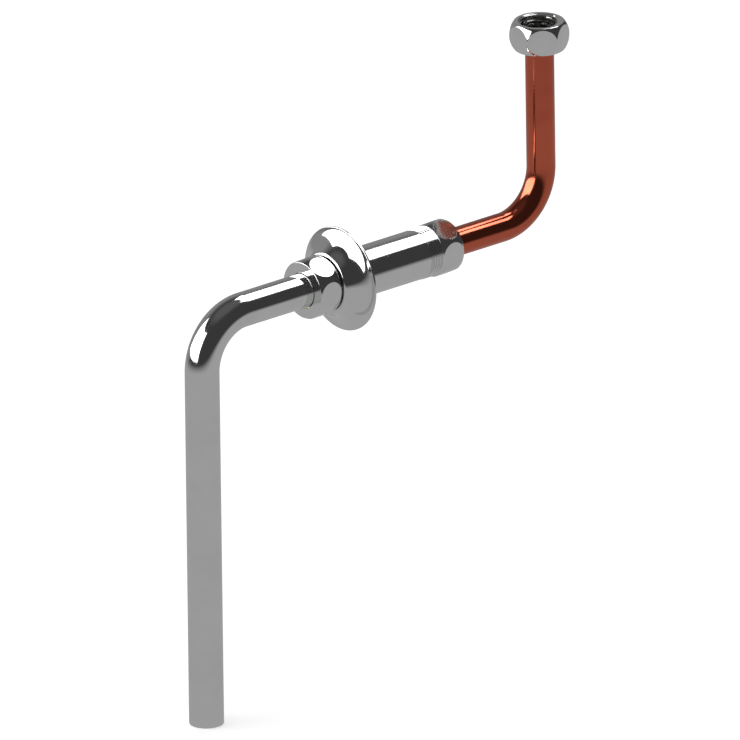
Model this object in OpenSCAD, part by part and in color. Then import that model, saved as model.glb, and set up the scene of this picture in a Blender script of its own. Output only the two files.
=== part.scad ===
// Connector pipe that brings flush water through a wall and down to a urinal.
// Origin: the run's centre line at the finished wall face. +Z is up and +Y goes into the wall,
// so the chromed outlet pipe is in front of the wall (-Y) and the copper inlet pipe behind it.
// Threads are drawn as plain cylinders at their pitch diameter.

/* [Outlet pipe] */
// Outside diameter of the chromed pipe
outlet_od = 18; // [15:0.5:20]
// Wall of the chromed pipe
outlet_wall = 1; // [0.8:0.1:1.5]
// Wall face to the centre line of the hanging leg
outlet_reach = 95.5; // [75:0.5:160]
// Run's centre line down to the cut end
outlet_drop = 219; // [120:1:320]
// Centre-line radius of the bend
outlet_bend = 27.5; // [22:0.5:36]
// How far the pipe goes in past the wall face
outlet_depth = 20; // [5:1:30]
// Chamfer round the cut end
outlet_chamfer = 0.5; // [0.2:0.1:0.7]

/* [Copper pipe] */
// Outside diameter of the copper pipe
copper_od = 15; // [12:0.5:15]
// Wall of the copper pipe
copper_wall = 1; // [0.8:0.1:1.5]
// Wall face to the centre line of the rising leg
copper_reach = 136.7; // [115:0.5:220]
// Run's centre line up to the end of the pipe
copper_rise = 97.5; // [70:0.5:180]
// Centre-line radius of the bend
copper_bend = 27.4; // [22:0.2:36]

/* [Wall sleeve] */
// Diameter of the plain barrel
barrel_d = 26; // [25:0.2:26.6]
// Wall face to the front end of the sleeve, inside the gland nut
sleeve_front = 19.6; // [18:0.2:24]
// Wall face to the shoulder where the barrel starts
barrel_start = 12; // [11.6:0.1:14]
// Wall face to the end of the plain barrel
barrel_end = 50.6; // [40:0.2:80]
// Length of the threaded stretch before the hexagon
band_len = 7.6; // [4:0.2:12]
// Depth of the bore that takes the outlet pipe, past the wall face
bore_depth = 36; // [31:1:39]
// Depth of the socket that takes the copper pipe
socket_depth = 12; // [8:0.5:13]
// Width of the step that the copper pipe stops on
socket_step = 1.25; // [0.8:0.05:2]
// Half angle of the seat for the seal
seat_angle = 35; // [25:1:45]
// Width of the flat ring between the seat and the thread's chamfer
front_land = 0.5; // [0.3:0.1:0.8]

/* [Sleeve thread, 3/4 inch pipe thread] */
// Pitch diameter
gland_thread_d = 25.28; // [25.2:0.02:25.4]
// Chamfer at the start of the front thread
thread_lead = 0.8; // [0.4:0.1:1]
// Width of the run-out groove behind the front thread
groove_w = 1.4; // [1:0.1:2]
// Depth of that groove
groove_t = 0.7; // [0.4:0.1:1]

/* [Sleeve hexagon] */
// Width across the flats
hex_af = 27; // [26.6:0.1:30]
// Length of the hexagon
hex_len = 14; // [12.5:0.5:18]
// Radius at the middle of the turned crown
hex_crown_r = 15; // [14.8:0.1:15.4]
// Radius of the end faces
hex_face_r = 13.3; // [13.2:0.1:13.8]

/* [Gland nut] */
// Width across the flats
gland_af = 30; // [29.4:0.2:34]
// Radius at the middle of the turned crown
gland_crown_r = 16.4; // [16:0.1:17]
// Radius of the end faces
gland_face_r = 14.8; // [14.4:0.1:15.2]
// Thickness of the front lip
gland_lip = 3; // [2:0.1:3.4]
// Chamfer at the thread's mouth
gland_chamfer = 0.8; // [0.4:0.1:1.2]

/* [Gland seal] */
// Thickness of the pressure ring
ring_t = 1.5; // [1:0.1:1.8]
// Length of the cylinder at the front of the rubber seal
seal_land = 2.1; // [1:0.1:4]
// Thickness of the rubber at the narrow end of its cone
seal_tip = 0.4; // [0.2:0.1:0.8]

/* [Rosette] */
// Diameter of the rim
rosette_d = 55; // [50:0.5:70]
// Height from the wall to the front of the hub
rosette_h = 11.6; // [11.2:0.1:12.2]
// Thickness of the pressed sheet
rosette_sheet = 1; // [0.7:0.05:1.2]
// Thickness of the rim's edge
rim_t = 1; // [0.7:0.05:1.5]
// Width of the flat at the back of the rim
rim_land = 1.4; // [0.8:0.1:3]
// Slope of the surface at the rim
rim_slope = 12; // [4:1:22]
// Width of the flat round the front of the hub
hub_land = 1.5; // [1.2:0.1:2]
// Radius of the hub's front edge
hub_round = 1.8; // [1.4:0.1:2.4]
// Length of the neck that guides the rosette on the barrel
neck_len = 3; // [2:0.1:5]

/* [Union nut] */
// Width across the flats
union_af = 27; // [26:0.1:30]
// Height of the nut
union_len = 15; // [14:0.2:18]
// Radius at the middle of the turned crown
union_crown_r = 15.6; // [15.2:0.1:16]
// Radius of the end faces
union_face_r = 12.9; // [12.4:0.1:13.4]
// Thickness of the lip under the collar
union_lip = 3; // [2:0.1:4]
// Depth of the run-out groove round the collar
union_groove_t = 0.7; // [0.4:0.1:1]
// Chamfer at the mouth
union_chamfer = 1; // [0.5:0.1:1.4]
// Turn of the nut about the pipe
union_turn = 25.3; // [0:0.1:60]

/* [Inlet collar and gasket] */
// Width of the collar round the copper pipe
collar_w = 1.55; // [1:0.05:2.5]
// Thickness of the brass collar
collar_t = 3; // [2:0.1:4]
// Chamfer round the collar's lower edge
collar_chamfer = 0.5; // [0.2:0.1:0.8]
// Thickness of the flat gasket
gasket_t = 1.7; // [1:0.1:2.5]

/* [Fits] */
// Radial gap between the outlet pipe and the sleeve's bore
bore_gap = 0.1; // [0.05:0.01:0.2]
// Radial gap round a brazed pipe
braze_gap = 0.05; // [0.03:0.01:0.1]
// Radial gap between a nut's lip and its pipe
lip_gap = 0.3; // [0.2:0.05:0.5]
// Radial gap in the engaged thread
thread_gap = 0.05; // [0.03:0.01:0.1]
// Radial gap round the pressure ring and the seal
seal_gap = 0.1; // [0.05:0.01:0.2]
// Gap between the seal's cone and its seat
seat_gap = 0.05; // [0.02:0.01:0.1]
// Gap between the seal's shoulder and the front of the sleeve
shoulder_gap = 0.4; // [0.2:0.1:0.8]
// Gap between the gland nut and the barrel's shoulder
nut_gap = 0.6; // [0.3:0.1:1.5]
// Radial gap between the rosette and the widest part that it slides over
rosette_gap = 0.18; // [0.1:0.02:0.4]
// Radial gap between the collar and the pitch line of the 1/2 inch pipe thread round it
collar_gap = 0.8; // [0.7:0.05:1.2]
// Gap between the collar and the nut's lip, so that the nut turns
swivel_gap = 0.3; // [0.2:0.05:0.4]

/* [Hidden] */
$fn = 96;

// Depth from pitch line to crest of a pipe thread with 14 turns to the inch
thread_addendum = 0.58;
past = 1;

bore_d = outlet_od + 2 * bore_gap;
socket_d = copper_od + 2 * braze_gap;
hex_start = barrel_end + band_len;
hex_end = hex_start + hex_len;
socket_start = hex_end - socket_depth;
seat_d = gland_thread_d - 2 * (thread_lead + front_land);
seal_shoulder = sleeve_front + shoulder_gap;
seal_front = seal_shoulder + seal_land;
ring_front = seal_front + ring_t;
gland_front = ring_front + gland_lip;
gland_back = barrel_start + nut_gap;
gland_bore_d = gland_thread_d + 2 * thread_gap;
seal_od = gland_bore_d - 2 * seal_gap;
seal_id = outlet_od + 2 * seal_gap;
collar_d = socket_d + 2 * collar_w;
collar_bottom = copper_rise - collar_t;
union_thread_d = collar_d + 2 * collar_gap;
union_groove_d = union_thread_d + 2 * union_groove_t;
union_bottom = collar_bottom - swivel_gap - union_lip;
union_top = union_bottom + union_len;
gasket_top = copper_rise + gasket_t;
rosette_bore_r = max(barrel_d / 2, gland_thread_d / 2 + thread_addendum) + rosette_gap;

chrome = [0.80, 0.81, 0.82];
copper = [0.72, 0.33, 0.20];
brass = [0.78, 0.70, 0.50];
black_rubber = [0.08, 0.08, 0.08];
grey_fibre = [0.42, 0.42, 0.40];

// Stands a shape that was drawn up the Z axis along the run, from y on towards +Y
module along_run(y) {
    translate([0, y, 0]) rotate([-90, 0, 0]) children();
}

// Bore along the run from one y to another, with room to spare at the open ends
module run_bore(d, from, to) {
    along_run(from) cylinder(h = to - from, d = d);
}

// Quarter bend in the YZ plane about its own centre, starting at an angle from +Y
module quarter_bend(d, bend_r, start) {
    rotate([90, 0, 90]) rotate([0, 0, start])
        rotate_extrude(angle = 90) translate([bend_r, 0]) circle(d = d);
}

// Hexagon with its crown turned to an arc, so that each flat shows as a disc
module crowned_hex(af, len, crown_r, face_r) {
    sag = crown_r - face_r;
    arc_r = (pow(len / 2, 2) + pow(sag, 2)) / (2 * sag);
    intersection() {
        rotate([0, 0, 30]) cylinder(h = len, d = af / cos(30), $fn = 6);
        translate([0, 0, len / 2]) rotate_extrude() intersection() {
            translate([crown_r - arc_r, 0]) circle(r = arc_r);
            translate([0, -len / 2]) square([crown_r + past, len]);
        }
    }
}

// Outlet pipe's solid rod at diameter d, before it is bored, with its ends moved out by extra
module outlet_rod(d, extra) {
    straight_to = -outlet_reach + outlet_bend;
    along_run(straight_to) cylinder(h = outlet_depth - straight_to + extra, d = d);
    translate([0, straight_to, -outlet_bend]) quarter_bend(d, outlet_bend, 90);
    translate([0, -outlet_reach, -outlet_drop + outlet_chamfer - extra])
        cylinder(h = outlet_drop - outlet_chamfer - outlet_bend + extra, d = d);
}

module outlet_pipe() {
    color(chrome) difference() {
        union() {
            outlet_rod(outlet_od, 0);
            translate([0, -outlet_reach, -outlet_drop])
                cylinder(h = outlet_chamfer, d1 = outlet_od - 2 * outlet_chamfer, d2 = outlet_od);
        }
        outlet_rod(outlet_od - 2 * outlet_wall, outlet_chamfer + past);
    }
}

// Copper pipe's solid rod at diameter d, before it is bored, with its ends moved out by extra
module copper_rod(d, extra) {
    straight_to = copper_reach - copper_bend;
    along_run(socket_start - extra)
        cylinder(h = straight_to - socket_start + extra, d = d);
    translate([0, straight_to, copper_bend]) quarter_bend(d, copper_bend, 270);
    translate([0, copper_reach, copper_bend])
        cylinder(h = copper_rise - copper_bend + extra, d = d);
}

module copper_pipe() {
    color(copper) difference() {
        copper_rod(copper_od, 0);
        copper_rod(copper_od - 2 * copper_wall, past);
    }
}

module wall_sleeve() {
    thread_len = sleeve_front - barrel_start;
    thread_mouth_d = gland_thread_d - 2 * thread_lead;
    seat_len = (seat_d - bore_d) / 2 / tan(seat_angle);
    color(chrome) difference() {
        union() {
            along_run(-sleeve_front)
                cylinder(h = thread_lead, d1 = thread_mouth_d, d2 = gland_thread_d);
            along_run(-sleeve_front + thread_lead)
                cylinder(h = thread_len - thread_lead, d = gland_thread_d);
            along_run(-barrel_start) cylinder(h = barrel_start + barrel_end, d = barrel_d);
            along_run(barrel_end) cylinder(h = band_len, d = gland_thread_d);
            along_run(hex_start) crowned_hex(hex_af, hex_len, hex_crown_r, hex_face_r);
        }
        run_bore(bore_d, -sleeve_front - past, bore_depth);
        run_bore(socket_d - 2 * socket_step, bore_depth - past, socket_start + past);
        run_bore(socket_d, socket_start, hex_end + past);
        along_run(-sleeve_front) cylinder(h = seat_len, d1 = seat_d, d2 = bore_d);
        along_run(-barrel_start - groove_w) difference() {
            cylinder(h = groove_w, d = gland_thread_d + past);
            translate([0, 0, -past])
                cylinder(h = groove_w + 2 * past, d = gland_thread_d - 2 * groove_t);
        }
    }
}

module gland_nut() {
    color(chrome) difference() {
        along_run(-gland_front)
            crowned_hex(gland_af, gland_front - gland_back, gland_crown_r, gland_face_r);
        run_bore(outlet_od + 2 * lip_gap, -gland_front - past, -gland_back + past);
        run_bore(gland_bore_d, -ring_front, -gland_back + past);
        along_run(-gland_back - gland_chamfer)
            cylinder(h = gland_chamfer, d1 = gland_bore_d, d2 = gland_bore_d + 2 * gland_chamfer);
    }
}

module pressure_ring() {
    color(brass) difference() {
        along_run(-ring_front) cylinder(h = ring_t, d = seal_od);
        run_bore(seal_id, -ring_front - past, -ring_front + ring_t + past);
    }
}

module pipe_seal() {
    cone_r = seat_d / 2 + shoulder_gap * tan(seat_angle) - seat_gap / cos(seat_angle);
    tip_r = seal_id / 2 + seal_tip;
    cone_len = (cone_r - tip_r) / tan(seat_angle);
    color(black_rubber) difference() {
        union() {
            along_run(-seal_front) cylinder(h = seal_land, d = seal_od);
            along_run(-seal_shoulder) cylinder(h = cone_len, r1 = cone_r, r2 = tip_r);
        }
        run_bore(seal_id, -seal_front - past, past);
    }
}

// Rosette as a full body up to its front surface, or to that surface moved in by inset
module rosette_form(inset) {
    rim = [rosette_d / 2, -rim_t];
    facing = [sin(rim_slope), -cos(rim_slope)];
    hub = [rosette_bore_r + hub_land, -rosette_h + hub_round];
    reach = rim - hub;
    flare_r = (reach * reach - pow(hub_round, 2)) / (2 * (hub_round - reach * facing));
    flare = rim + flare_r * facing;
    rotate_extrude() difference() {
        polygon([[0, past], [rim[0], past], rim, flare, hub, [0, hub[1]]]);
        translate(flare) circle(r = flare_r + inset, $fn = 180);
    }
    rotate_extrude() translate(hub) circle(r = hub_round - inset);
    translate([0, 0, -rosette_h + inset]) cylinder(h = rosette_h - inset, r = hub[0]);
}

module rosette() {
    hollow_r = rosette_d / 2 - rim_land;
    color(chrome) difference() {
        along_run(0) {
            difference() {
                rosette_form(0);
                intersection() {
                    rosette_form(rosette_sheet);
                    translate([0, 0, -rosette_h]) cylinder(h = 2 * rosette_h, r = hollow_r);
                }
            }
            translate([0, 0, -rosette_h])
                cylinder(h = neck_len, r = rosette_bore_r + rosette_sheet);
        }
        run_bore(2 * rosette_d, 0, 2 * past);
        run_bore(2 * rosette_bore_r, -rosette_h - past, past);
    }
}

module inlet_collar() {
    color(brass) translate([0, copper_reach, collar_bottom]) difference() {
        union() {
            cylinder(h = collar_chamfer, d1 = collar_d - 2 * collar_chamfer, d2 = collar_d);
            translate([0, 0, collar_chamfer]) cylinder(h = collar_t - collar_chamfer, d = collar_d);
        }
        translate([0, 0, -past]) cylinder(h = collar_t + 2 * past, d = socket_d);
    }
}

module flat_gasket() {
    color(grey_fibre) translate([0, copper_reach, copper_rise]) difference() {
        cylinder(h = gasket_t, d = collar_d);
        translate([0, 0, -past])
            cylinder(h = gasket_t + 2 * past, d = copper_od - 2 * copper_wall);
    }
}

module union_nut() {
    color(chrome) translate([0, copper_reach, union_bottom]) difference() {
        rotate([0, 0, union_turn])
            crowned_hex(union_af, union_len, union_crown_r, union_face_r);
        translate([0, 0, -past])
            cylinder(h = union_lip + 2 * past, d = copper_od + 2 * lip_gap);
        translate([0, 0, union_lip])
            cylinder(h = gasket_top - union_bottom - union_lip, d = union_groove_d);
        translate([0, 0, union_lip]) cylinder(h = union_len, d = union_thread_d);
        translate([0, 0, union_len - union_chamfer])
            cylinder(h = union_chamfer, d1 = union_thread_d, d2 = union_thread_d + 2 * union_chamfer);
    }
}

outlet_pipe();
gland_nut();
pressure_ring();
pipe_seal();
rosette();
wall_sleeve();
copper_pipe();
inlet_collar();
flat_gasket();
union_nut();
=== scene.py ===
"""Finished look of a urinal connector pipe: chromed outlet pipe, gland nut, rosette and wall sleeve,
and a copper pipe that rises to a union nut.

All sizes are in metres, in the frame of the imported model: the run's centre line lies along Y, the
finished wall face is at y = 0, and +Z is up.
"""

import logging
import math
from collections.abc import Callable, Sequence
from dataclasses import dataclass
from enum import Enum

import bmesh
import bpy
from mathutils import Matrix, Vector


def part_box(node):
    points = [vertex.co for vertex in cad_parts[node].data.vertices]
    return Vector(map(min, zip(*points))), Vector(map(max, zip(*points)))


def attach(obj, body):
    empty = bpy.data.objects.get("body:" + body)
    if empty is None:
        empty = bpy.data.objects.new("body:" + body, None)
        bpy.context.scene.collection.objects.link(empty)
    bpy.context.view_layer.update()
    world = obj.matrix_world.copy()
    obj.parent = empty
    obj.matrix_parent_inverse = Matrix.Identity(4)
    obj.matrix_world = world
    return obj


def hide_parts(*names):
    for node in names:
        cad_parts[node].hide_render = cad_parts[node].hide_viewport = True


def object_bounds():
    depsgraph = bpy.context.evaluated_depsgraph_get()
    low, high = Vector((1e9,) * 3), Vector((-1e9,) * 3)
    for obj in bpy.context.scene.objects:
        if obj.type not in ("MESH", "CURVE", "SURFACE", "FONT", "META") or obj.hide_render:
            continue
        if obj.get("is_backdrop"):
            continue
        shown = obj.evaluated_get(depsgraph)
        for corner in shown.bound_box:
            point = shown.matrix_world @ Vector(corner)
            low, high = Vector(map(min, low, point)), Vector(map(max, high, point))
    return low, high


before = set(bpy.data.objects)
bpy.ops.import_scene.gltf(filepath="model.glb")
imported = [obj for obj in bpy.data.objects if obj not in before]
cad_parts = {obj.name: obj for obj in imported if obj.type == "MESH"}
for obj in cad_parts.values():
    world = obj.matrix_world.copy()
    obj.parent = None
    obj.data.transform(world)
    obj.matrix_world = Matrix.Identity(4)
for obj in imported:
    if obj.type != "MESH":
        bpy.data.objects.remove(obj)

log = logging.getLogger("connector_pipe")
MM = 0.001
TOUCH = 0.001 * MM


class Element(Enum):
    """What a selection picks in edit mode."""

    VERT = "VERT"
    EDGE = "EDGE"
    FACE = "FACE"


@dataclass(frozen=True)
class Axis:
    """A centre line that round pieces are turned about.

    Attributes:
        origin: A point on the line.
        direction: Unit vector along the line.
    """

    origin: Vector
    direction: Vector

    def point(self, along: float) -> Vector:
        """Point on the line at a distance from its origin."""
        return self.origin + self.direction * along


RUN = Axis(Vector((0, 0, 0)), Vector((0, 1, 0)))
UP = Vector((0, 0, 1))

Profile = list[tuple[float, float]]


def arc(centre: tuple[float, float], radius: float, start: float, end: float, steps: int) -> Profile:
    """Points on an arc of a profile.

    Args:
        centre: Place along the axis and radius of the arc's centre.
        radius: Radius of the arc.
        start: First angle in degrees, from the axis direction towards growing radius.
        end: Last angle in degrees.
        steps: Number of steps between the two.

    Returns:
        The steps + 1 points, as places along the axis and radii.
    """
    points = []
    for i in range(steps + 1):
        angle = math.radians(start + (end - start) * i / steps)
        points.append((centre[0] + radius * math.cos(angle), centre[1] + radius * math.sin(angle)))
    return points


def softened(profile: Profile, rounds: dict[int, float], steps: int = 3) -> Profile:
    """Rounds corners of a closed profile.

    Args:
        profile: Corners as places along the axis and radii.
        rounds: Length taken off each side of a corner, by the corner's index.
        steps: Number of steps round each corner.

    Returns:
        The profile with a short curve in place of each rounded corner.
    """
    points: Profile = []
    for i, corner in enumerate(profile):
        cut = rounds.get(i)
        if cut is None:
            points.append(corner)
            continue
        here = Vector(corner)
        before = (Vector(profile[i - 1]) - here).normalized() * cut
        after = (Vector(profile[(i + 1) % len(profile)]) - here).normalized() * cut
        for k in range(steps + 1):
            t = k / steps
            point = here + before * (1 - t) ** 2 + after * t ** 2
            points.append((point.x, point.y))
    return points


class Bench:
    """Modelling moves that the pieces share, each made with Blender's own operators."""

    @staticmethod
    def clear() -> None:
        """Leaves nothing selected, so that the next operator acts on the new primitive alone."""
        bpy.ops.object.select_all(action="DESELECT")

    @staticmethod
    def named(name: str) -> bpy.types.Object:
        """Names the active object, puts its place into its mesh and returns it."""
        piece = bpy.context.active_object
        piece.name = piece.data.name = name
        bpy.ops.object.transform_apply(location=True, rotation=True, scale=True)
        return piece

    @classmethod
    def ring(cls, name: str, centre: Vector, radius: float, facing: Vector, sides: int) -> bpy.types.Object:
        """Adds a circle and leaves it selected in edit mode, ready to be extruded.

        Args:
            name: Name of the new piece.
            centre: Centre of the circle.
            radius: Radius of the circle.
            facing: Direction that the circle faces.
            sides: Number of its vertices.

        Returns:
            The new piece.
        """
        cls.clear()
        turn = UP.rotation_difference(facing).to_euler()
        bpy.ops.mesh.primitive_circle_add(vertices=sides, radius=radius, location=centre, rotation=turn)
        piece = cls.named(name)
        bpy.ops.object.mode_set(mode="EDIT")
        bpy.ops.mesh.select_mode(type="EDGE")
        bpy.ops.mesh.select_all(action="SELECT")
        return piece

    @staticmethod
    def grow(shift: Vector, scale: float, centre: Vector) -> None:
        """Extrudes the selected ring by a shift, and scales the new ring about its own centre."""
        bpy.ops.mesh.extrude_edges_move(TRANSFORM_OT_translate={"value": shift})
        if abs(scale - 1) > 1e-9:
            bpy.ops.transform.resize(value=(scale, scale, scale), center_override=centre)

    @classmethod
    def turned(cls, name: str, axis: Axis, profile: Profile, sides: int = 144) -> bpy.types.Object:
        """Turns a closed profile about an axis by extruding one ring from corner to corner.

        Args:
            name: Name of the new piece.
            axis: Centre line of the piece.
            profile: Places along the axis and radii, all round the section.
            sides: Number of sides round the axis.

        Returns:
            The new piece, in edit mode.
        """
        along, radius = profile[0]
        piece = cls.ring(name, axis.point(along), radius, axis.direction, sides)
        for next_along, next_radius in profile[1:] + profile[:1]:
            shift = axis.direction * (next_along - along)
            cls.grow(shift, next_radius / radius, axis.point(next_along))
            along, radius = next_along, next_radius
        cls.heal()
        return piece

    @staticmethod
    def heal(gap: float = TOUCH) -> None:
        """Merges the doubles of the mesh in edit mode and turns its faces outwards."""
        bpy.ops.mesh.select_all(action="SELECT")
        bpy.ops.mesh.remove_doubles(threshold=gap)
        bpy.ops.mesh.normals_make_consistent(inside=False)

    @staticmethod
    def pick(piece: bpy.types.Object, element: Element, where: Callable[..., bool]) -> int:
        """Selects what a test accepts, in edit mode.

        Args:
            piece: The piece in edit mode.
            element: Kind of element that the test is given.
            where: Test of a vertex, edge or face.

        Returns:
            The number of elements picked.
        """
        bpy.ops.mesh.select_mode(type=element.value)
        bpy.ops.mesh.select_all(action="DESELECT")
        mesh = bmesh.from_edit_mesh(piece.data)
        items = {Element.VERT: mesh.verts, Element.EDGE: mesh.edges, Element.FACE: mesh.faces}[element]
        picked = 0
        for item in items:
            if where(item):
                item.select_set(True)
                picked += 1
        mesh.select_flush_mode()
        bmesh.update_edit_mesh(piece.data)
        return picked

    @classmethod
    def cut_flats(cls, piece: bpy.types.Object, axis: Axis, across: float, first: Vector, soft: float) -> None:
        """Cuts the six flats of a hexagon on a turned crown, and breaks their edges.

        Args:
            piece: The turned piece in edit mode.
            axis: Centre line of the hexagon.
            across: Width across the flats.
            first: Direction that one of the flats faces.
            soft: Width of the broken edge round each flat.
        """
        for i in range(6):
            out = Matrix.Rotation(math.radians(60 * i), 3, axis.direction) @ first
            place = axis.origin + out * (across / 2)
            bpy.ops.mesh.select_all(action="SELECT")
            bpy.ops.mesh.bisect(plane_co=place, plane_no=out, use_fill=True, clear_outer=True, threshold=TOUCH / 10)

            def on_flat(vert: bmesh.types.BMVert) -> bool:
                """Whether a vertex lies in this flat's plane."""
                return abs((vert.co - place).dot(out)) < TOUCH

            cls.pick(piece, Element.VERT, on_flat)
            bpy.ops.mesh.remove_doubles(threshold=0.05 * MM)
            if soft > 0:
                cls.pick(piece, Element.EDGE, lambda edge: all(on_flat(v) for v in edge.verts)
                         and not edge.is_boundary and len(edge.link_faces) == 2
                         and edge.calc_face_angle(0) > math.radians(10))
                bpy.ops.mesh.bevel(offset=soft, offset_type="WIDTH", segments=2, clamp_overlap=True)

    @staticmethod
    def modifier(piece: bpy.types.Object, kind: str, **settings: object) -> None:
        """Adds a modifier with its settings and applies it.

        Args:
            piece: The piece in object mode.
            kind: The modifier's type.
            **settings: The modifier's settings.
        """
        bpy.context.view_layer.objects.active = piece
        modifier = piece.modifiers.new(kind.lower(), kind)
        for name, value in settings.items():
            setattr(modifier, name, value)
        bpy.ops.object.modifier_apply(modifier=modifier.name)

    @classmethod
    def finish(cls, piece: bpy.types.Object, sharp_from: float = 40.0) -> bpy.types.Object:
        """Leaves edit mode, smooths the shading below an angle and keeps the flats flat.

        Args:
            piece: The piece in edit or object mode.
            sharp_from: Angle in degrees from which an edge stays sharp.

        Returns:
            The same piece.
        """
        if bpy.context.mode != "OBJECT":
            bpy.ops.object.mode_set(mode="OBJECT")
        cls.clear()
        piece.select_set(True)
        bpy.context.view_layer.objects.active = piece
        bpy.ops.object.shade_smooth_by_angle(angle=math.radians(sharp_from))
        cls.modifier(piece, "WEIGHTED_NORMAL", weight=100, keep_sharp=True)
        return piece

    @classmethod
    def joined(cls, piece: bpy.types.Object, others: Sequence[bpy.types.Object]) -> bpy.types.Object:
        """Joins other objects into a piece and returns it."""
        cls.clear()
        for other in [*others, piece]:
            other.select_set(True)
        bpy.context.view_layer.objects.active = piece
        bpy.ops.object.join()
        return piece

    @classmethod
    def wall_up(cls, piece: bpy.types.Object, wall: float, cut_end: Callable[..., bool], chamfer: float
                ) -> bpy.types.Object:
        """Gives an open pipe its wall and breaks the edges of its visible end.

        Args:
            piece: The pipe's outer skin, in edit mode.
            wall: Thickness of the wall.
            cut_end: Test of the vertices at the visible end.
            chamfer: Chamfer round that end.

        Returns:
            The finished pipe.
        """
        cls.heal()
        bpy.ops.object.mode_set(mode="OBJECT")
        cls.modifier(piece, "SOLIDIFY", thickness=wall, offset=-1, use_even_offset=True)
        bpy.ops.object.mode_set(mode="EDIT")
        cls.pick(piece, Element.EDGE, lambda edge: all(cut_end(v) for v in edge.verts)
                 and edge.calc_face_angle(0) > math.radians(60))
        bpy.ops.mesh.bevel(offset=chamfer, offset_type="OFFSET", segments=2, profile=0.5)
        return cls.finish(piece)


@dataclass(frozen=True)
class Thread:
    """A right-hand pipe thread about an axis.

    Attributes:
        pitch: Distance from one turn to the next.
        crest_r: Radius of the crests.
        root_r: Radius of the roots.
        crest_w: Width of the flat on a crest.
        root_w: Width of a ridge at its root.
        sunk: How deep the ridge's foot goes into the wall that carries it.
        steps: Number of steps in one turn.
    """

    pitch: float = 25.4 / 14 * MM
    crest_r: float = 13.22 * MM
    root_r: float = 12.06 * MM
    crest_w: float = 0.35 * MM
    root_w: float = 1.55 * MM
    sunk: float = 0.1 * MM
    steps: int = 96

    def ridge(self, name: str, axis: Axis, start: float, end: float, phase: float = 0.0) -> bpy.types.Object:
        """Winds one ridge round the axis and trims it to its stretch.

        Args:
            name: Name of the ridge's object.
            axis: Centre line of the thread.
            start: Place along the axis where the thread starts.
            end: Place along the axis where it ends.
            phase: Share of a turn by which the ridge is moved on.

        Returns:
            The ridge as a closed mesh, in object mode.
        """
        side = Vector((1, 0, 0))
        outward = 1 if self.crest_r > self.root_r else -1
        foot_r = self.root_r - outward * self.sunk
        height = abs(self.crest_r - foot_r)
        low = math.floor(start / self.pitch - 1) * self.pitch + phase * self.pitch
        place = axis.point(low) + side * (foot_r + self.crest_r) / 2
        Bench.clear()
        bpy.ops.mesh.primitive_plane_add(size=1, location=place, rotation=(0, 0, 0))
        if axis.direction.z:
            bpy.ops.transform.rotate(value=math.pi / 2, orient_axis="X", center_override=place)
        bpy.ops.transform.resize(value=(height, 1, 1), center_override=place)
        ridge = Bench.named(name)
        bpy.ops.object.mode_set(mode="EDIT")
        bpy.ops.mesh.select_all(action="SELECT")
        bpy.ops.transform.resize(value=(1, self.root_w, self.root_w), center_override=place)
        Bench.pick(ridge, Element.VERT, lambda vert: (vert.co - place).dot(side) * outward > 0)
        narrow = self.crest_w / self.root_w
        bpy.ops.transform.resize(value=(1, narrow, narrow), center_override=place)
        bpy.ops.mesh.select_all(action="SELECT")
        bpy.ops.mesh.delete(type="ONLY_FACE")
        bpy.ops.object.mode_set(mode="OBJECT")
        bpy.context.scene.cursor.location = axis.origin
        bpy.ops.object.origin_set(type="ORIGIN_CURSOR")
        turns = math.ceil((end - low) / self.pitch) + 1
        Bench.modifier(ridge, "SCREW", axis="Z" if axis.direction.z else "Y", screw_offset=self.pitch,
                       iterations=turns, steps=self.steps, render_steps=self.steps, use_smooth_shade=True)
        bpy.ops.object.transform_apply(location=True, rotation=True, scale=True)
        bpy.ops.object.mode_set(mode="EDIT")
        for along, sign in ((start, -1), (end, 1)):
            bpy.ops.mesh.select_all(action="SELECT")
            bpy.ops.mesh.bisect(plane_co=axis.point(along), plane_no=axis.direction * sign,
                                use_fill=True, clear_outer=True, threshold=TOUCH / 10)
        Bench.heal()
        return Bench.finish(ridge)


@dataclass(frozen=True)
class Crown:
    """Hexagon whose corners are turned away to an arc, so that each flat shows as a disc.

    Attributes:
        across: Width across the flats.
        crown_r: Radius at the middle of the turned crown.
        face_r: Radius of the end faces.
        edge: Length taken off each side of the end faces' edges.
        soft: Width of the broken edge round each flat.
        steps: Number of steps along the crown.
    """

    across: float
    crown_r: float
    face_r: float
    edge: float = 0.25 * MM
    soft: float = 0.16 * MM
    steps: int = 28

    def profile(self, start: float, end: float) -> Profile:
        """Crown's outer profile from one end face to the other, with both edges rounded.

        Args:
            start: Place of the first end face along the axis.
            end: Place of the other end face.

        Returns:
            Points from the first face to the other.
        """
        half, sag = (end - start) / 2, self.crown_r - self.face_r
        arc_r = (half ** 2 + sag ** 2) / (2 * sag)
        spread = math.degrees(math.asin((half - self.edge) / arc_r))
        middle = ((start + end) / 2, self.crown_r - arc_r)
        body = arc(middle, arc_r, 90 + spread, 90 - spread, self.steps)
        first = [(start, self.face_r - self.edge), (start, self.face_r), body[0]]
        last = [body[-1], (end, self.face_r), (end, self.face_r - self.edge)]
        return self.round_edge(first) + body[1:-1] + self.round_edge(last)

    @staticmethod
    def round_edge(points: Profile, steps: int = 3) -> Profile:
        """Curve from the first point to the last, drawn towards the middle one."""
        a, corner, b = (Vector(point) for point in points)
        curve = []
        for k in range(steps + 1):
            t = k / steps
            point = a * (1 - t) ** 2 + corner * (2 * t * (1 - t)) + b * t ** 2
            curve.append((point.x, point.y))
        return curve


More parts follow.
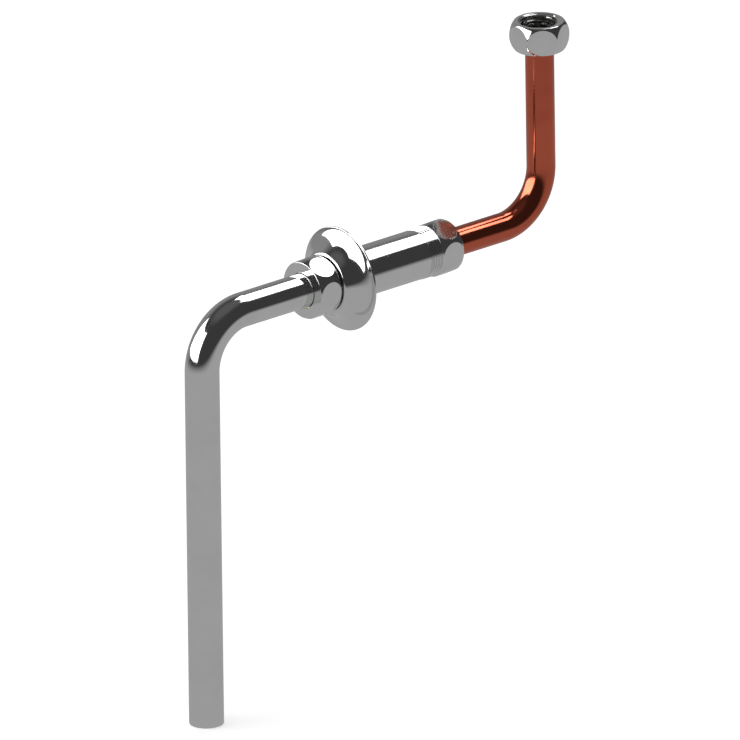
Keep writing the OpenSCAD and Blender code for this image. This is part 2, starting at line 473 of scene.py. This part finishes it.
@dataclass
class OutletPipe:
    """Chromed pipe that hangs in front of the wall.

    Attributes:
        od: Outside diameter.
        wall: Thickness of the wall.
        bend_r: Centre-line radius of the bend.
        chamfer: Chamfer round the cut end.
        sides: Number of sides round the pipe.
        bend_steps: Number of steps in the bend.
    """

    od: float = 18 * MM
    wall: float = 1 * MM
    bend_r: float = 27.5 * MM
    chamfer: float = 0.5 * MM
    sides: int = 96
    bend_steps: int = 64

    def build(self) -> bpy.types.Object:
        """Models the pipe from its upper end down to the cut end."""
        low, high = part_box("outlet_pipe")
        corner = Vector((0, low.y + self.od / 2 + self.bend_r, 0))
        start = Vector((0, high.y, 0))
        piece = Bench.ring("outlet_pipe_finished", start, self.od / 2, RUN.direction, self.sides)
        Bench.grow(corner - start, 1, corner)
        bpy.ops.mesh.spin(steps=self.bend_steps, angle=math.pi / 2, center=corner - UP * self.bend_r,
                          axis=(-1, 0, 0))
        Bench.grow(UP * (low.z + self.bend_r), 1, corner)
        return Bench.wall_up(piece, self.wall, lambda vert: vert.co.z < low.z + TOUCH, self.chamfer)


@dataclass
class CopperPipe:
    """Copper pipe that rises behind the wall.

    Attributes:
        od: Outside diameter.
        wall: Thickness of the wall.
        bend_r: Centre-line radius of the bend.
        edge: Chamfer round the upper end.
        sides: Number of sides round the pipe.
        bend_steps: Number of steps in the bend.
    """

    od: float = 15 * MM
    wall: float = 1 * MM
    bend_r: float = 27.4 * MM
    edge: float = 0.15 * MM
    sides: int = 96
    bend_steps: int = 64

    def build(self) -> bpy.types.Object:
        """Models the pipe from the sleeve's socket up to its collar."""
        low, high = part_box("copper_pipe")
        corner = Vector((0, high.y - self.od / 2 - self.bend_r, 0))
        start = Vector((0, low.y, 0))
        piece = Bench.ring("copper_pipe_finished", start, self.od / 2, RUN.direction, self.sides)
        Bench.grow(corner - start, 1, corner)
        bpy.ops.mesh.spin(steps=self.bend_steps, angle=math.pi / 2, center=corner + UP * self.bend_r,
                          axis=(-1, 0, 0))
        Bench.grow(UP * (high.z - self.bend_r), 1, corner)
        return Bench.wall_up(piece, self.wall, lambda vert: vert.co.z > high.z - TOUCH, self.edge)


@dataclass
class Rosette:
    """Pressed cover that slides on the sleeve up to the wall.

    Attributes:
        rim_r: Radius of the rim.
        rim_t: Thickness of the rim's edge.
        rim_land: Width of the flat at the back of the rim.
        rim_slope: Slope of the surface at the rim, in degrees.
        sheet: Thickness of the sheet.
        hub_land: Width of the flat round the front of the hub.
        hub_round: Radius of the hub's front edge.
        bore_r: Radius of the bore.
        neck: Length of the neck inside.
        edge: Length taken off each side of the rim's and the bore's edges.
    """

    rim_r: float = 27.5 * MM
    rim_t: float = 1 * MM
    rim_land: float = 1.4 * MM
    rim_slope: float = 12
    sheet: float = 1 * MM
    hub_land: float = 1.5 * MM
    hub_round: float = 1.8 * MM
    bore_r: float = 13.4 * MM
    neck: float = 3 * MM
    edge: float = 0.3 * MM

    def build(self) -> bpy.types.Object:
        """Turns the cover from its section."""
        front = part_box("rosette")[0].y
        slope = math.radians(self.rim_slope)
        rim = Vector((-self.rim_t, self.rim_r))
        facing = Vector((-math.cos(slope), math.sin(slope)))
        hub = Vector((front + self.hub_round, self.bore_r + self.hub_land))
        reach = rim - hub
        flare_r = (reach.length_squared - self.hub_round ** 2) / (2 * (self.hub_round - reach.dot(facing)))
        flare = rim + facing * flare_r
        join = math.degrees(math.atan2(hub.y - flare.y, hub.x - flare.x))
        hollow_r = self.rim_r - self.rim_land
        inner_r = flare_r + self.sheet
        back = math.degrees(math.asin((hollow_r - flare.y) / inner_r))
        bend_r = self.hub_round - self.sheet
        neck_r = self.bore_r + self.sheet
        outside = arc(flare, flare_r, -self.rim_slope, join, 30) + arc(hub, self.hub_round, join + 180, 180, 10)[1:]
        inside = arc(hub, bend_r, 180, join + 180, 8) + arc(flare, inner_r, join, back, 24)[1:]
        corners = [(0, hollow_r), (0, self.rim_r), *outside, (front, self.bore_r),
                   (front + self.neck, self.bore_r), (front + self.neck, neck_r),
                   (front + self.sheet, neck_r), *inside]
        rounds = {1: self.edge, 2: self.edge, 2 + len(outside): self.edge}
        return Bench.finish(Bench.turned("rosette_finished", RUN, softened(corners, rounds)))


@dataclass
class WallSleeve:
    """Turned sleeve with a plain barrel, threads and a hexagon at its back.

    Attributes:
        crown: The hexagon.
        hex_len: Length of the hexagon.
        thread: The pipe thread at the front and on the band.
        band_len: Length of the threaded band before the hexagon.
        barrel_r: Radius of the plain barrel.
        shoulder: Wall face to the shoulder at the barrel's front.
        groove_r: Radius of the run-out groove's floor.
        groove_w: Width of that groove.
        bore_r: Radius of the bore that takes the outlet pipe.
        bore_depth: Wall face to the end of that bore.
        step_r: Radius of the passage between the two bores.
        socket_r: Radius of the socket that takes the copper pipe.
        socket_depth: Depth of that socket.
        seat_r: Radius of the seal's seat at the front.
        seat_len: Length of the seat.
        lead_r: Radius of the thread's start at the front.
        edge: Length taken off each side of the sleeve's edges.
    """

    crown: Crown = Crown(27 * MM, 15 * MM, 13.3 * MM)
    hex_len: float = 14 * MM
    thread: Thread = Thread()
    band_len: float = 7.6 * MM
    barrel_r: float = 13 * MM
    shoulder: float = 12 * MM
    groove_r: float = 11.94 * MM
    groove_w: float = 1.4 * MM
    bore_r: float = 9.1 * MM
    bore_depth: float = 36 * MM
    step_r: float = 6.3 * MM
    socket_r: float = 7.55 * MM
    socket_depth: float = 12 * MM
    seat_r: float = 11.34 * MM
    seat_len: float = 3.2 * MM
    lead_r: float = 11.84 * MM
    edge: float = 0.25 * MM

    def build(self) -> bpy.types.Object:
        """Turns the sleeve, cuts its hexagon and winds its threads."""
        low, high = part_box("wall_sleeve")
        hex_start = high.y - self.hex_len
        band_start = hex_start - self.band_len
        core_r = self.thread.root_r
        corners = [(low.y, self.seat_r), (low.y, self.lead_r), (low.y + core_r - self.lead_r, core_r),
                   (-self.shoulder - self.groove_w, core_r), (-self.shoulder - self.groove_w, self.groove_r),
                   (-self.shoulder, self.groove_r), (-self.shoulder, self.barrel_r),
                   (band_start, self.barrel_r), (band_start, core_r), (hex_start, core_r)]
        rounds = {6: self.edge, 7: self.edge}
        hexagon = self.crown.profile(hex_start, high.y)
        mouth = len(corners) + len(hexagon)
        corners += hexagon + [(high.y, self.socket_r), (high.y - self.socket_depth, self.socket_r),
                              (high.y - self.socket_depth, self.step_r), (self.bore_depth, self.step_r),
                              (self.bore_depth, self.bore_r), (low.y + self.seat_len, self.bore_r)]
        rounds[mouth] = self.edge
        piece = Bench.turned("wall_sleeve_finished", RUN, softened(corners, rounds))
        Bench.cut_flats(piece, RUN, self.crown.across, Vector((1, 0, 0)), self.crown.soft)
        Bench.finish(piece)
        front = self.thread.ridge("front_thread", RUN, low.y + self.edge, -self.shoulder - self.groove_w)
        band = self.thread.ridge("band_thread", RUN, band_start, hex_start)
        return Bench.joined(piece, [front, band])


@dataclass
class GlandNut:
    """Crowned nut that squeezes the seal round the outlet pipe.

    Attributes:
        crown: The hexagon.
        thread: The thread in the nut.
        lip: Thickness of the front lip.
        lip_r: Radius of the hole in the lip.
        chamber: Length of the plain chamber for the ring and the seal.
        chamber_r: Radius of that chamber.
        mouth_r: Radius of the chamfer at the back.
        edge: Length taken off each side of the lip's edge.
    """

    crown: Crown = Crown(30 * MM, 16.4 * MM, 14.8 * MM)
    thread: Thread = Thread(crest_r=12.68 * MM, root_r=13.3 * MM)
    lip: float = 3 * MM
    lip_r: float = 9.3 * MM
    chamber: float = 3.6 * MM
    chamber_r: float = 12.69 * MM
    mouth_r: float = 13.7 * MM
    edge: float = 0.3 * MM

    def build(self) -> bpy.types.Object:
        """Turns the nut, cuts its flats and winds its thread."""
        low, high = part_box("gland_nut")
        seat = low.y + self.lip
        crown = self.crown.profile(low.y, high.y)
        bore_r = self.thread.root_r
        corners = crown + [(high.y, self.mouth_r), (high.y - self.mouth_r + bore_r, bore_r),
                           (seat + self.chamber, bore_r), (seat + self.chamber, self.chamber_r),
                           (seat, self.chamber_r), (seat, self.lip_r), (low.y, self.lip_r)]
        piece = Bench.turned("gland_nut_finished", RUN, softened(corners, {len(corners) - 1: self.edge}))
        Bench.cut_flats(piece, RUN, self.crown.across, Vector((1, 0, 0)), self.crown.soft)
        Bench.finish(piece)
        ridge = self.thread.ridge("gland_thread", RUN, seat + self.chamber, high.y - self.edge, phase=0.5)
        return Bench.joined(piece, [ridge])


@dataclass
class UnionNut:
    """Crowned nut that turns freely on the copper pipe's collar.

    Attributes:
        crown: The hexagon.
        turn: Turn of the nut about the pipe, in degrees.
        thread: The thread in the nut.
        lip: Thickness of the lip under the collar.
        lip_r: Radius of the hole in the lip.
        groove_r: Radius of the run-out groove round the collar.
        mouth_r: Radius of the chamfer at the mouth.
        edge: Length taken off each side of the mouth's edge.
    """

    crown: Crown = Crown(27 * MM, 15.6 * MM, 12.9 * MM)
    turn: float = 25.3
    thread: Thread = Thread(crest_r=9.32 * MM, root_r=10.48 * MM)
    lip: float = 3 * MM
    lip_r: float = 7.8 * MM
    groove_r: float = 10.6 * MM
    mouth_r: float = 10.9 * MM
    edge: float = 0.2 * MM

    def build(self) -> bpy.types.Object:
        """Turns the nut, cuts its flats and winds its thread."""
        low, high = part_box("union_nut")
        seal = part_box("flat_gasket")[1].z
        riser = Axis(Vector((0, (low.y + high.y) / 2, 0)), UP)
        crown = self.crown.profile(low.z, high.z)
        bore_r = self.thread.root_r
        corners = crown + [(high.z, self.mouth_r), (high.z - self.mouth_r + bore_r, bore_r),
                           (seal, bore_r), (seal, self.groove_r), (low.z + self.lip, self.groove_r),
                           (low.z + self.lip, self.lip_r), (low.z, self.lip_r)]
        rounds = {len(crown): self.edge, len(corners) - 1: self.edge}
        piece = Bench.turned("union_nut_finished", riser, softened(corners, rounds))
        angle = math.radians(self.turn)
        first = Vector((math.cos(angle), math.sin(angle), 0))
        Bench.cut_flats(piece, riser, self.crown.across, first, self.crown.soft)
        Bench.finish(piece)
        ridge = self.thread.ridge("union_thread", riser, seal, high.z - (self.mouth_r - bore_r))
        return Bench.joined(piece, [ridge])


class Signal:
    """Output of a shader node that takes part in arithmetic, each operator adding one Math node."""

    def __init__(self, graph: "Graph", socket: bpy.types.NodeSocket) -> None:
        """Keeps the graph and the socket."""
        self.graph = graph
        self.socket = socket

    def math(self, operation: str, *values: "Signal | float", clamp: bool = False) -> "Signal":
        """Adds one Math node.

        Args:
            operation: The node's operation.
            *values: All of its inputs, in order.
            clamp: Whether the result is kept between 0 and 1.

        Returns:
            The node's output.
        """
        settings = {"operation": operation, "use_clamp": clamp}
        return self.graph.node("ShaderNodeMath", settings, dict(enumerate(values)))

    def __add__(self, other: "Signal | float") -> "Signal":
        """Sum."""
        return self.math("ADD", self, other)

    def __radd__(self, other: float) -> "Signal":
        """Sum, from the right."""
        return self.math("ADD", other, self)

    def __sub__(self, other: "Signal | float") -> "Signal":
        """Difference."""
        return self.math("SUBTRACT", self, other)

    def __rsub__(self, other: float) -> "Signal":
        """Difference, from the right."""
        return self.math("SUBTRACT", other, self)

    def __mul__(self, other: "Signal | float") -> "Signal":
        """Product."""
        return self.math("MULTIPLY", self, other)

    def __rmul__(self, other: float) -> "Signal":
        """Product, from the right."""
        return self.math("MULTIPLY", other, self)

    def __truediv__(self, other: "Signal | float") -> "Signal":
        """Quotient."""
        return self.math("DIVIDE", self, other)

    def largest(self, other: "Signal | float") -> "Signal":
        """Larger of two values."""
        return self.math("MAXIMUM", self, other)

    def length_with(self, other: "Signal") -> "Signal":
        """Length of the right angle's long side over this value and another."""
        return (self * self + other * other).math("SQRT", self * self + other * other)

    def rise(self, low: float, high: float) -> "Signal":
        """Soft step from 0 at one value to 1 at another.

        Args:
            low: Value up to which the step is 0.
            high: Value from which it is 1.

        Returns:
            The step.
        """
        return self.graph.node("ShaderNodeMapRange", {"interpolation_type": "SMOOTHSTEP", "clamp": True},
                               {"Value": self, "From Min": low, "From Max": high})

    def between(self, low: float, high: float, soft: float) -> "Signal":
        """Window that is 1 between two values and falls off softly at both."""
        return self.rise(low - soft, low + soft) - self.rise(high - soft, high + soft)


class Graph:
    """Node tree of a material or of the world."""

    def __init__(self, tree: bpy.types.NodeTree) -> None:
        """Empties the tree."""
        self.tree = tree
        tree.nodes.clear()

    def node(self, kind: str, settings: dict | None = None, inputs: dict | None = None,
             output: str | int = 0) -> Signal:
        """Adds a node.

        Args:
            kind: The node's type.
            settings: Its settings, and a ramp's stops as "stops".
            inputs: Values or links of its sockets, by name or index.
            output: The output that is wanted, by name or index.

        Returns:
            That output.
        """
        node = self.tree.nodes.new(kind)
        for name, value in (settings or {}).items():
            setattr(node, name, value)
        for name, value in (inputs or {}).items():
            socket = node.inputs[name]
            if isinstance(value, Signal):
                self.tree.links.new(value.socket, socket)
            elif isinstance(value, tuple) and len(value) == 3 and socket.type == "RGBA":
                socket.default_value = (*value, 1.0)
            else:
                socket.default_value = value
        return Signal(self, node.outputs[output]) if node.outputs else Signal(self, node.inputs[0])

    def place(self) -> Signal:
        """Object coordinates of the surface."""
        return self.node("ShaderNodeTexCoord", output="Object")

    def axes(self, vector: Signal) -> tuple[Signal, Signal, Signal]:
        """The three parts of a vector."""
        parts = self.node("ShaderNodeSeparateXYZ", inputs={0: vector})
        return tuple(Signal(self, socket) for socket in parts.socket.node.outputs)

    def vector(self, x: Signal | float, y: Signal | float, z: Signal | float) -> Signal:
        """A vector from its three parts."""
        return self.node("ShaderNodeCombineXYZ", inputs={0: x, 1: y, 2: z})

    def noise(self, vector: Signal, scale: float, detail: float = 2.0) -> Signal:
        """Noise between 0 and 1.

        Args:
            vector: Where it is read.
            scale: Its scale.
            detail: Its octaves.

        Returns:
            The noise's value.
        """
        return self.node("ShaderNodeTexNoise", {"noise_dimensions": "3D"},
                         {"Vector": vector, "Scale": scale, "Detail": detail})

    def mix(self, factor: Signal, first: tuple[float, float, float] | Signal,
            second: tuple[float, float, float] | Signal) -> Signal:
        """Blends two colours by a factor."""
        return self.node("ShaderNodeMix", {"data_type": "RGBA"}, {0: factor, 6: first, 7: second}, output=2)

    def bump(self, height: Signal, distance: float, strength: float = 1.0) -> Signal:
        """Normal that a height field bends.

        Args:
            height: Height as a share of the distance.
            distance: Height in metres of the value 1.
            strength: Share of the effect.

        Returns:
            The bent normal.
        """
        return self.node("ShaderNodeBump", inputs={"Strength": strength, "Distance": distance,
                                                   "Height": height})


def finished_material(name: str, dress: Callable[[Graph], dict], uniform: dict) -> bpy.types.Material:
    """Material on one Principled shader.

    Args:
        name: The material's name.
        dress: Adds the nodes and returns what they feed, by socket.
        uniform: Values that are the same all over, by socket.

    Returns:
        The material.
    """
    material = bpy.data.materials.new(name)
    material.use_nodes = True
    graph = Graph(material.node_tree)
    shader = graph.node("ShaderNodeBsdfPrincipled", inputs={**uniform, **dress(graph)})
    graph.node("ShaderNodeOutputMaterial", inputs={"Surface": shader})
    return material


@dataclass(frozen=True)
class Chrome:
    """Polished chrome plate over turned or drawn brass.

    Attributes:
        name: The material's name.
        colour: Colour of the plate.
        haze: Roughness of the cleanest plate.
        wear: How much rougher the handled places are.
        orange_peel: Height of the plate's faint waviness.
        peel_scale: Waves in a metre.
        polish: Height of the fine lines that polishing leaves.
    """

    name: str
    colour: tuple[float, float, float] = (0.80, 0.81, 0.80)
    haze: float = 0.07
    wear: float = 0.05
    orange_peel: float = 0.004 * MM
    peel_scale: float = 160
    polish: float = 0.0006 * MM

    def material(self) -> bpy.types.Material:
        """Makes the material."""
        return finished_material(self.name, self.dress, {"Metallic": 1.0, "IOR": 2.0})

    def dress(self, graph: Graph) -> dict:
        """Adds the nodes of the plate."""
        place = graph.place()
        cloud = graph.noise(place, 55, 3)
        smear = graph.noise(place, 420, 2)
        waves = graph.noise(place, self.peel_scale, 1)
        grit = graph.noise(place, 5200, 2)
        tint = graph.mix(cloud.rise(0.35, 0.75), self.colour, tuple(0.955 * part for part in self.colour))
        rough = self.haze + (cloud.rise(0.45, 0.8) * 0.6 + smear.rise(0.4, 0.8) * 0.4) * self.wear
        height = waves * self.orange_peel + grit * self.polish
        return {"Base Color": tint, "Roughness": rough, "Normal": graph.bump(height, 1.0)}


@dataclass(frozen=True)
class DrawnCopper:
    """Bright drawn copper pipe with faint draw lines along it.

    Attributes:
        name: The material's name.
        bright: Colour of the clean metal.
        dull: Colour where it has begun to tarnish.
        haze: Roughness of the clean metal.
        bend: Place of the bend's centre, along Y and Z.
    """

    name: str
    bend: tuple[float, float]
    bright: tuple[float, float, float] = (0.66, 0.145, 0.080)
    dull: tuple[float, float, float] = (0.52, 0.105, 0.060)
    haze: float = 0.11

    def material(self) -> bpy.types.Material:
        """Makes the material."""
        return finished_material(self.name, self.dress, {"Metallic": 1.0})

    def dress(self, graph: Graph) -> dict:
        """Adds the nodes of the copper, with lines that follow the pipe round its bend."""
        place = graph.place()
        x, y, z = graph.axes(place)
        out = (y - self.bend[0]).largest(0.0).length_with((self.bend[1] - z).largest(0.0))
        section = graph.vector(x, out, (y + z) * 0.02)
        lines = graph.noise(section, 2600, 3)
        cloud = graph.noise(place, 48, 4)
        tint = graph.mix(cloud.rise(0.42, 0.78) * 0.8, self.bright, self.dull)
        rough = self.haze + lines.rise(0.35, 0.8) * 0.05 + cloud.rise(0.5, 0.85) * 0.08
        height = lines * (0.003 * MM) + graph.noise(place, 190, 1) * (0.006 * MM)
        return {"Base Color": tint, "Roughness": rough, "Normal": graph.bump(height, 1.0)}


@dataclass(frozen=True)
class TurnedBrass:
    """Bare brass with the rings that turning leaves.

    Attributes:
        name: The material's name.
        centre: A point on the axis of the turning.
        along: Index of the axis that the piece was turned about.
        colour: Colour of the metal.
    """

    name: str
    centre: tuple[float, float, float] = (0.0, 0.0, 0.0)
    along: int = 1
    colour: tuple[float, float, float] = (0.72, 0.53, 0.25)

    def material(self) -> bpy.types.Material:
        """Makes the material."""
        return finished_material(self.name, self.dress, {"Metallic": 1.0})

    def dress(self, graph: Graph) -> dict:
        """Adds the nodes of the brass."""
        place = graph.place()
        parts = [part - middle for part, middle in zip(graph.axes(place), self.centre)]
        lengthwise = parts.pop(self.along)
        radius = parts[0].length_with(parts[1])
        rings = graph.noise(graph.vector(radius + lengthwise, 0.0, 0.0), 3200, 1)
        cloud = graph.noise(place, 300, 3)
        tint = graph.mix(cloud.rise(0.4, 0.8), self.colour, tuple(0.8 * part for part in self.colour))
        return {"Base Color": tint, "Roughness": 0.22 + rings * 0.12 + cloud * 0.05,
                "Normal": graph.bump(rings * (0.004 * MM), 1.0)}


@dataclass(frozen=True)
class Rubber:
    """Moulded black rubber.

    Attributes:
        name: The material's name.
        colour: Colour of the rubber.
        bloom: Colour of the pale bloom on it.
    """

    name: str
    colour: tuple[float, float, float] = (0.012, 0.012, 0.013)
    bloom: tuple[float, float, float] = (0.045, 0.045, 0.045)

    def material(self) -> bpy.types.Material:
        """Makes the material."""
        return finished_material(self.name, self.dress, {"IOR": 1.52})

    def dress(self, graph: Graph) -> dict:
        """Adds the nodes of the rubber."""
        place = graph.place()
        cloud, grain = graph.noise(place, 260, 4), graph.noise(place, 3500, 2)
        return {"Base Color": graph.mix(cloud.rise(0.45, 0.8), self.colour, self.bloom),
                "Roughness": 0.5 + cloud * 0.25, "Normal": graph.bump(grain * (0.01 * MM), 1.0)}


@dataclass(frozen=True)
class PressedFibre:
    """Grey pressed fibre with pale flecks.

    Attributes:
        name: The material's name.
        colour: Colour of the sheet.
        fleck: Colour of the flecks.
    """

    name: str
    colour: tuple[float, float, float] = (0.13, 0.13, 0.12)
    fleck: tuple[float, float, float] = (0.33, 0.33, 0.31)

    def material(self) -> bpy.types.Material:
        """Makes the material."""
        return finished_material(self.name, self.dress, {"IOR": 1.45})

    def dress(self, graph: Graph) -> dict:
        """Adds the nodes of the fibre."""
        x, y, z = graph.axes(graph.place())
        strands = graph.noise(graph.vector(x, y * 0.35, z), 2600, 3)
        return {"Base Color": graph.mix(strands.rise(0.5, 0.72), self.colour, self.fleck),
                "Roughness": 0.82 + strands * 0.1, "Normal": graph.bump(strands * (0.03 * MM), 1.0)}


@dataclass(frozen=True)
class Softbox:
    """Bright panel of the studio, as a patch of the sky that the metal reflects.

    Attributes:
        name: The light's name.
        azimuth: Left and right edge in degrees, from +Y towards +X.
        elevation: Lower and upper edge in degrees.
        glare: Brightness in the metal.
        power: Power of the light that goes with it, in watts.
    """

    name: str
    azimuth: tuple[float, float]
    elevation: tuple[float, float]
    glare: float
    power: float

    @property
    def direction(self) -> Vector:
        """Direction from the part to the middle of the panel."""
        azimuth, elevation = math.radians(sum(self.azimuth) / 2), math.radians(sum(self.elevation) / 2)
        return Vector((math.sin(azimuth) * math.cos(elevation), math.cos(azimuth) * math.cos(elevation),
                       math.sin(elevation)))


@dataclass
class Studio:
    """Pale floor, soft lamps, the dark room that the metal reflects, and the camera.

    Attributes:
        softboxes: The bright panels.
        dome_r: Radius of the dome that stands for the room.
        room: Brightness of the dark walls.
        ground: Brightness of the ground.
        side: Brightness of the lighter wall on the left.
        view: Azimuth and elevation of the camera in degrees.
        pixels_per_metre: Scale of the photograph.
        origin_pixel: Where the part's origin lies in the photograph.
        roll: Turn of the photograph, as a slope.
        image: Width of the photograph in pixels.
    """

    softboxes: tuple[Softbox, ...] = (
        Softbox("lamp_behind", (-40, 26), (44, 63), 4.0, 3.0),
        Softbox("lamp_in_front", (-190, -110), (3, 45), 4.0, 4.0),
    )
    dome_r: float = 4.0
    room: float = 0.045
    ground: float = 0.40
    side: float = 0.22
    view: tuple[float, float] = (48.98, 20.37)
    pixels_per_metre: float = 1950
    origin_pixel: tuple[float, float] = (341.34, 278.13)
    roll: float = 0.0130
    image: int = 740

    def build(self) -> None:
        """Sets up the whole studio."""
        bpy.context.scene.view_settings.view_transform = "Standard"
        self.camera()
        self.world()
        self.dome()
        self.floor()
        for box in self.softboxes:
            self.lamp(box)

    def camera(self) -> None:
        """Adds the camera at the photograph's viewing angle."""
        azimuth, elevation = (math.radians(angle) for angle in self.view)
        towards = Vector((math.sin(azimuth) * math.cos(elevation), -math.cos(azimuth) * math.cos(elevation),
                          math.sin(elevation)))
        level = Vector((math.cos(azimuth), math.sin(azimuth), 0))
        right = (level - towards.cross(level) * self.roll).normalized()
        up = towards.cross(right)
        across = (self.image / 2 - self.origin_pixel[0]) / self.pixels_per_metre
        down = (self.image / 2 - self.origin_pixel[1]) / self.pixels_per_metre
        data = bpy.data.cameras.new("camera")
        data.type = "ORTHO"
        data.ortho_scale = self.image / self.pixels_per_metre
        data.clip_end = 20
        camera = bpy.data.objects.new("camera", data)
        bpy.context.scene.collection.objects.link(camera)
        axes = Matrix((right, up, towards)).transposed().to_4x4()
        camera.matrix_world = Matrix.Translation(right * across - up * down + towards * 2) @ axes
        bpy.context.scene.camera = camera

    def world(self) -> None:
        """White for the camera and for mirror and glass rays, and a plain soft light for the rest."""
        world = bpy.data.worlds.new("studio")
        world.use_nodes = True
        bpy.context.scene.world = world
        graph = Graph(world.node_tree)
        seen = self.seen(graph)
        light = graph.node("ShaderNodeBackground", inputs={"Color": (1.0, 1.0, 1.0), "Strength": 0.6 + seen * 0.4})
        graph.node("ShaderNodeOutputWorld", inputs={"Surface": light})

    @staticmethod
    def seen(graph: Graph) -> Signal:
        """1 for camera, glossy and transmission rays, and 0 for the rest."""
        path = graph.node("ShaderNodeLightPath", output="Is Camera Ray")
        outputs = path.socket.node.outputs
        glossy, through = Signal(graph, outputs["Is Glossy Ray"]), Signal(graph, outputs["Is Transmission Ray"])
        return path.largest(glossy).largest(through)

    def dome(self) -> None:
        """Adds the room round the part, which only its metal reflects."""
        Bench.clear()
        bpy.ops.mesh.primitive_uv_sphere_add(segments=128, ring_count=64, radius=self.dome_r)
        dome = Bench.named("studio_room")
        bpy.ops.object.shade_smooth()
        for kind in ("camera", "diffuse", "transmission", "volume_scatter", "shadow"):
            setattr(dome, "visible_" + kind, False)
        material = bpy.data.materials.new("studio_room")
        material.use_nodes = True
        graph = Graph(material.node_tree)
        glow = graph.node("ShaderNodeEmission", inputs={"Color": (1.0, 1.0, 1.0), "Strength": self.glow(graph)})
        graph.node("ShaderNodeOutputMaterial", inputs={"Surface": glow})
        dome.data.materials.append(material)
        dome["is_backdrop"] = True

    def glow(self, graph: Graph) -> Signal:
        """Brightness of the room by direction."""
        x, y, z = graph.axes(graph.place())
        degree = 180 / math.pi
        elevation = (z / self.dome_r).math("ARCSINE", z / self.dome_r) * degree
        azimuth = x.math("ARCTAN2", x, y) * degree
        left = azimuth.between(-125, -30, 15)
        room = self.room + left * (1.0 - elevation.rise(20, 60)) * self.side + elevation.rise(50, 75) * 0.06
        level = room.largest((1.0 - elevation.rise(-16, 2)) * self.ground)
        for box in self.softboxes:
            (left_edge, right_edge), (lower, upper) = box.azimuth, box.elevation
            across = azimuth.between(left_edge, right_edge, 3)
            if left_edge < -180:
                across = across + azimuth.rise(left_edge + 357, left_edge + 363)
            level = level.largest(across * elevation.between(lower, upper, 1.5) * box.glare)
        return level

    def floor(self) -> None:
        """Adds the plain pale floor, which keeps the part's shadow."""
        Bench.clear()
        bpy.ops.mesh.primitive_plane_add(size=20, location=(0, 0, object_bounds()[0][2]))
        floor = Bench.named("floor")
        floor.visible_glossy = False
        material = bpy.data.materials.new("floor")
        material.use_nodes = True
        graph = Graph(material.node_tree)
        shader = graph.node("ShaderNodeBsdfPrincipled", inputs={
            "Base Color": (0.8, 0.8, 0.8), "Roughness": 0.9, "Emission Color": (1.0, 1.0, 1.0),
            "Emission Strength": self.seen(graph) * 0.45})
        graph.node("ShaderNodeOutputMaterial", inputs={"Surface": shader})
        floor.data.materials.append(material)
        floor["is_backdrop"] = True

    def lamp(self, box: Softbox) -> None:
        """Adds the soft light of one panel, which the metal doesn't see."""
        data = bpy.data.lights.new(box.name, "AREA")
        data.size = 1.0
        data.energy = box.power
        lamp = bpy.data.objects.new(box.name, data)
        bpy.context.scene.collection.objects.link(lamp)
        lamp.location = box.direction * 1.5
        lamp.rotation_euler = box.direction.to_track_quat("Z", "Y").to_euler()
        lamp.visible_glossy = False


class Finish(Enum):
    """Finishes of the part, by the record's material slot."""

    PIPE_CHROME = "pipe_chrome"
    NUT_CHROME = "nut_chrome"
    ROSETTE_CHROME = "rosette_chrome"
    SLEEVE_CHROME = "sleeve_chrome"
    DRAWN_COPPER = "drawn_copper"
    BARE_BRASS = "bare_brass"
    SEAL_RUBBER = "seal_rubber"
    GASKET_FIBRE = "gasket_fibre"


def finishes() -> dict[Finish, bpy.types.Material]:
    """Makes the material of each finish."""
    low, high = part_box("copper_pipe")
    copper = CopperPipe()
    bend = (high.y - copper.od / 2 - copper.bend_r, copper.bend_r)
    collar_low, collar_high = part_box("inlet_collar")
    return {
        Finish.PIPE_CHROME: Chrome("pipe_chrome").material(),
        Finish.NUT_CHROME: Chrome("nut_chrome", haze=0.06).material(),
        Finish.ROSETTE_CHROME: Chrome("rosette_chrome", haze=0.06).material(),
        Finish.SLEEVE_CHROME: Chrome("sleeve_chrome", haze=0.08).material(),
        Finish.DRAWN_COPPER: DrawnCopper("drawn_copper", bend).material(),
        Finish.BARE_BRASS: TurnedBrass("bare_brass").material(),
        Finish.SEAL_RUBBER: Rubber("seal_rubber").material(),
        Finish.GASKET_FIBRE: PressedFibre("gasket_fibre").material(),
    }


def dress(piece: bpy.types.Object, material: bpy.types.Material) -> None:
    """Gives a piece its one material."""
    piece.data.materials.clear()
    piece.data.materials.append(material)


def main() -> None:
    """Builds the pieces in order and reports each."""
    logging.basicConfig(level=logging.INFO, format="%(message)s")
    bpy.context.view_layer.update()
    Studio().build()
    made = finishes()
    pieces = (
        (OutletPipe(), "outlet", "outlet_pipe", Finish.PIPE_CHROME),
        (GlandNut(), "gland_nut", "gland_nut", Finish.NUT_CHROME),
        (Rosette(), "rosette", "rosette", Finish.ROSETTE_CHROME),
        (WallSleeve(), "root", "wall_sleeve", Finish.SLEEVE_CHROME),
        (CopperPipe(), "root", "copper_pipe", Finish.DRAWN_COPPER),
        (UnionNut(), "union_nut", "union_nut", Finish.NUT_CHROME),
    )
    for builder, body, node, finish in pieces:
        piece = builder.build()
        dress(piece, made[finish])
        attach(piece, body)
        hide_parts(node)
        log.info("%s: %d faces on %s", piece.name, len(piece.data.polygons), body)
    for node, finish in (("pressure_ring", Finish.BARE_BRASS), ("pipe_seal", Finish.SEAL_RUBBER),
                         ("inlet_collar", Finish.BARE_BRASS), ("flat_gasket", Finish.GASKET_FIBRE)):
        dress(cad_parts[node], made[finish])
        log.info("%s: the packed solid, in %s", node, finish.value)


if __name__ == "__main__":
    main()
